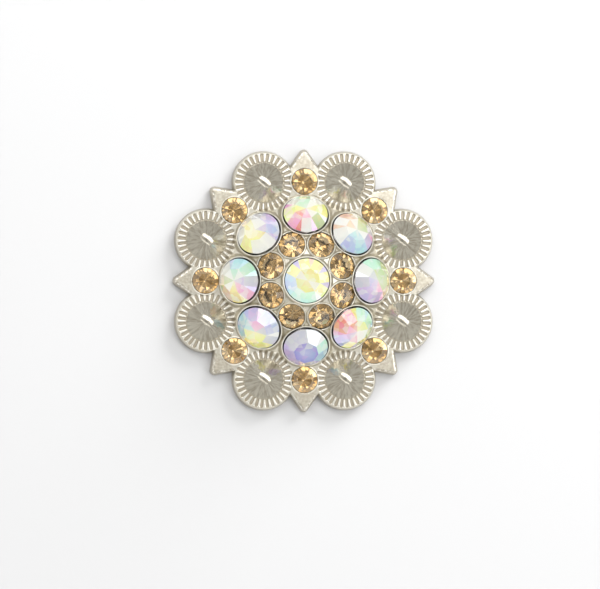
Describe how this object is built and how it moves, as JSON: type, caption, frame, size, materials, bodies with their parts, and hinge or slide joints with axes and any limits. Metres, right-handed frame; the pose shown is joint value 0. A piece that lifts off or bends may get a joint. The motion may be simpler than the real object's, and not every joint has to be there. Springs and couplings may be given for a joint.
{
  "type": "rhinestone concho",
  "caption": "Round domed concho with ribbed berry lobes and small points around its rim, set with iridescent and topaz rhinestones, flat back with a threaded socket.",
  "frame": {"origin": "centre of the flat back, on the surface it lies on", "axes": "+Z along the centre line out of the face, +X through one of the eight points, +Y through another"},
  "size_m": [0.038, 0.038, 0.0086],
  "materials": {
    "satin_nickel_casting": "zinc alloy casting, satin nickel plate",
    "screw_post_brass": "turned brass, plain",
    "iridescent_crystal": "cut crystal with an iridescent coating, foiled back",
    "topaz_crystal": "cut brown-yellow crystal, foiled back"
  },
  "bodies": {
    "root": {"casting": "satin_nickel_casting", "screw_post": "screw_post_brass", "centre_crystal": "iridescent_crystal", "dome_crystal_1": "iridescent_crystal", "dome_crystal_2": "iridescent_crystal", "dome_crystal_3": "iridescent_crystal", "dome_crystal_4": "iridescent_crystal", "dome_crystal_5": "iridescent_crystal", "dome_crystal_6": "iridescent_crystal", "dome_crystal_7": "iridescent_crystal", "dome_crystal_8": "iridescent_crystal", "inner_topaz_1": "topaz_crystal", "inner_topaz_2": "topaz_crystal", "inner_topaz_3": "topaz_crystal", "inner_topaz_4": "topaz_crystal", "inner_topaz_5": "topaz_crystal", "inner_topaz_6": "topaz_crystal", "inner_topaz_7": "topaz_crystal", "inner_topaz_8": "topaz_crystal", "outer_topaz_1": "topaz_crystal", "outer_topaz_2": "topaz_crystal", "outer_topaz_3": "topaz_crystal", "outer_topaz_4": "topaz_crystal", "outer_topaz_5": "topaz_crystal", "outer_topaz_6": "topaz_crystal", "outer_topaz_7": "topaz_crystal", "outer_topaz_8": "topaz_crystal"}
  },
  "joints": []
}
